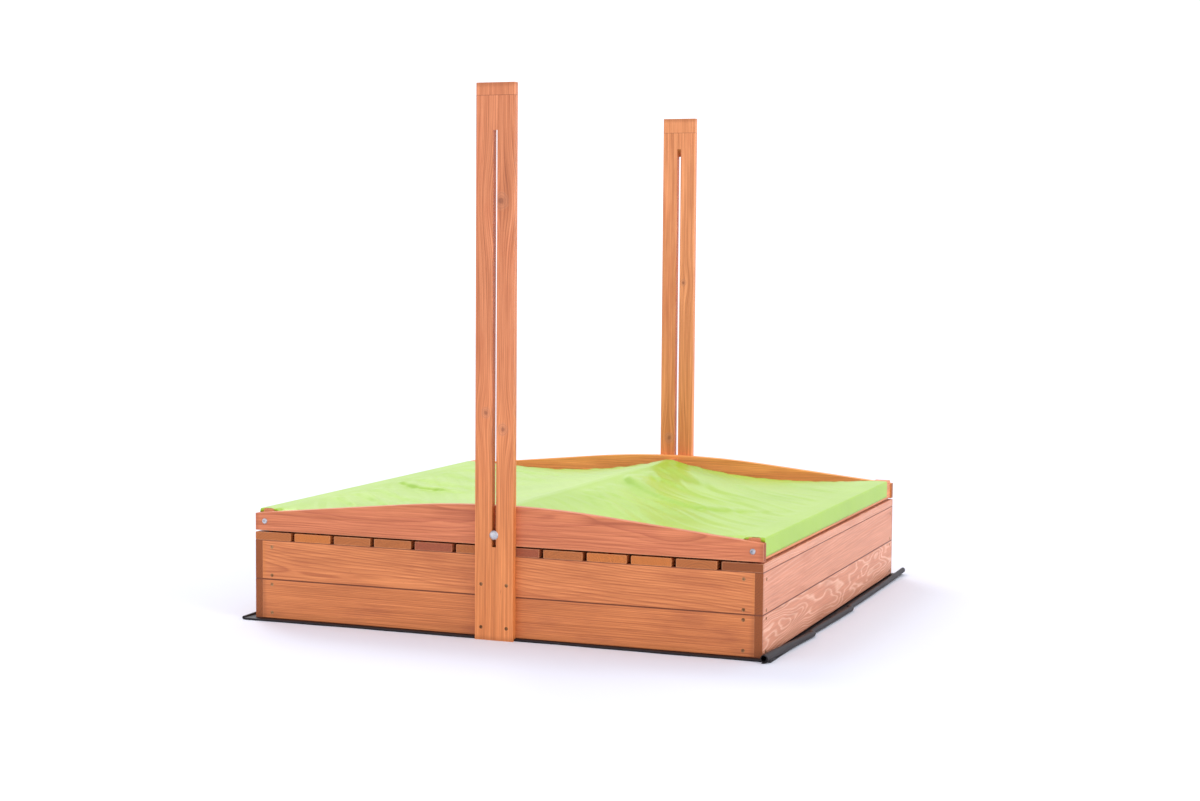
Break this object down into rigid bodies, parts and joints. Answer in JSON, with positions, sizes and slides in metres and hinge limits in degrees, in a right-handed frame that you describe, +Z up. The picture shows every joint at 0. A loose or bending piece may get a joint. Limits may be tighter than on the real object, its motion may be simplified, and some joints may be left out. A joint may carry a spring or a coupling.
{
  "type": "sandbox with cover",
  "caption": "Square wooden sandbox with a slatted lid that folds open and a fabric canopy that slides up and tilts on two slotted posts.",
  "frame": {"origin": "middle of the ground under the box", "axes": "+Z up, +X to the right of the front, +Y to the rear; the posts stand in front and behind"},
  "size_m": [1.278, 1.284, 1.2],
  "materials": {
    "wall_wood": "planed pine, orange-brown glaze",
    "post_wood": "planed pine, orange-brown glaze",
    "slat_wood": "planed pine, orange-brown glaze",
    "canopy_wood": "planed pine, orange-brown glaze",
    "inner_wood": "sawn pine, orange-brown glaze",
    "canopy_fabric": "tightly woven lime green polyester",
    "ground_mat": "black non-woven ground sheet",
    "zinc_steel": "bright zinc plating",
    "dark_screws": "bronze-coloured screws, stained with the wood"
  },
  "bodies": {
    "root": {"bench_screws": "dark_screws", "front_left_corner_block": "inner_wood", "front_lower_board": "wall_wood", "front_post": "post_wood", "front_right_corner_block": "inner_wood", "front_upper_board": "wall_wood", "ground_mat": "ground_mat", "left_bench_slat_1": "slat_wood", "left_bench_slat_2": "slat_wood", "left_bench_slat_3": "slat_wood", "left_hinge_bench_leaves": "zinc_steel", "left_hinge_bench_screws": "dark_screws", "left_hinge_pins": "zinc_steel", "left_lower_board": "wall_wood", "left_mat_roll": "ground_mat", "left_upper_board": "wall_wood", "post_screws": "dark_screws", "rear_left_corner_block": "inner_wood", "rear_lower_board": "wall_wood", "rear_post": "post_wood", "rear_right_corner_block": "inner_wood", "rear_upper_board": "wall_wood", "right_bench_slat_1": "slat_wood", "right_bench_slat_2": "slat_wood", "right_bench_slat_3": "slat_wood", "right_hinge_bench_leaves": "zinc_steel", "right_hinge_bench_screws": "dark_screws", "right_hinge_pins": "zinc_steel", "right_lower_board": "wall_wood", "right_mat_roll": "ground_mat", "right_upper_board": "wall_wood", "wall_screws": "dark_screws"},
    "slider": {"front_bolt": "zinc_steel", "front_washer": "zinc_steel", "rear_bolt": "zinc_steel", "rear_washer": "zinc_steel"},
    "canopy": {"canopy_corner_screws": "zinc_steel", "canopy_fabric": "canopy_fabric", "front_canopy_side": "canopy_wood", "left_crossbar": "canopy_wood", "rear_canopy_side": "canopy_wood", "ridge_bar": "canopy_wood", "ridge_screws": "dark_screws", "right_crossbar": "canopy_wood"},
    "front_wing_nut": {"front_wing_nut": "zinc_steel"},
    "rear_wing_nut": {"rear_wing_nut": "zinc_steel"},
    "left_flap": {"left_batten_screws": "dark_screws", "left_flap_battens": "inner_wood", "left_flap_slat_1": "slat_wood", "left_flap_slat_2": "slat_wood", "left_flap_slat_3": "slat_wood", "left_hinge_flap_leaves": "zinc_steel", "left_hinge_flap_screws": "dark_screws"},
    "right_flap": {"right_batten_screws": "dark_screws", "right_flap_battens": "inner_wood", "right_flap_slat_1": "slat_wood", "right_flap_slat_2": "slat_wood", "right_flap_slat_3": "slat_wood", "right_hinge_flap_leaves": "zinc_steel", "right_hinge_flap_screws": "dark_screws"}
  },
  "joints": [
    {"name": "canopy_lift", "type": "slide", "parent": "root", "child": "slider", "axis": [0, 0, 1], "range_m": [0, 0.864]},
    {"name": "canopy_tilt", "type": "hinge", "parent": "slider", "child": "canopy", "pos_m": [0, 0, 0.23], "axis": [0, 1, 0], "range_deg": [0, 20]},
    {"name": "left_flap_fold", "type": "hinge", "parent": "root", "child": "left_flap", "pos_m": [-0.295, 0, 0.2052], "axis": [0, -1, 0], "range_deg": [0, 180]},
    {"name": "right_flap_fold", "type": "hinge", "parent": "root", "child": "right_flap", "pos_m": [0.295, 0, 0.2052], "axis": [0, 1, 0], "range_deg": [0, 180]},
    {"name": "front_wing_nut_turn", "type": "hinge", "parent": "slider", "child": "front_wing_nut", "pos_m": [0, -0.576, 0.23], "axis": [0, 1, 0], "continuous": true},
    {"name": "rear_wing_nut_turn", "type": "hinge", "parent": "slider", "child": "rear_wing_nut", "pos_m": [0, 0.576, 0.23], "axis": [0, 1, 0], "continuous": true}
  ],
  "couplings": [
    {"joint": "canopy_tilt", "follows": "canopy_lift", "rad_per_m": 0.404},
    {"joint": "left_flap_fold", "follows": "canopy_lift", "rad_per_m": 3.6361},
    {"joint": "right_flap_fold", "follows": "canopy_lift", "rad_per_m": 3.6361}
  ]
}
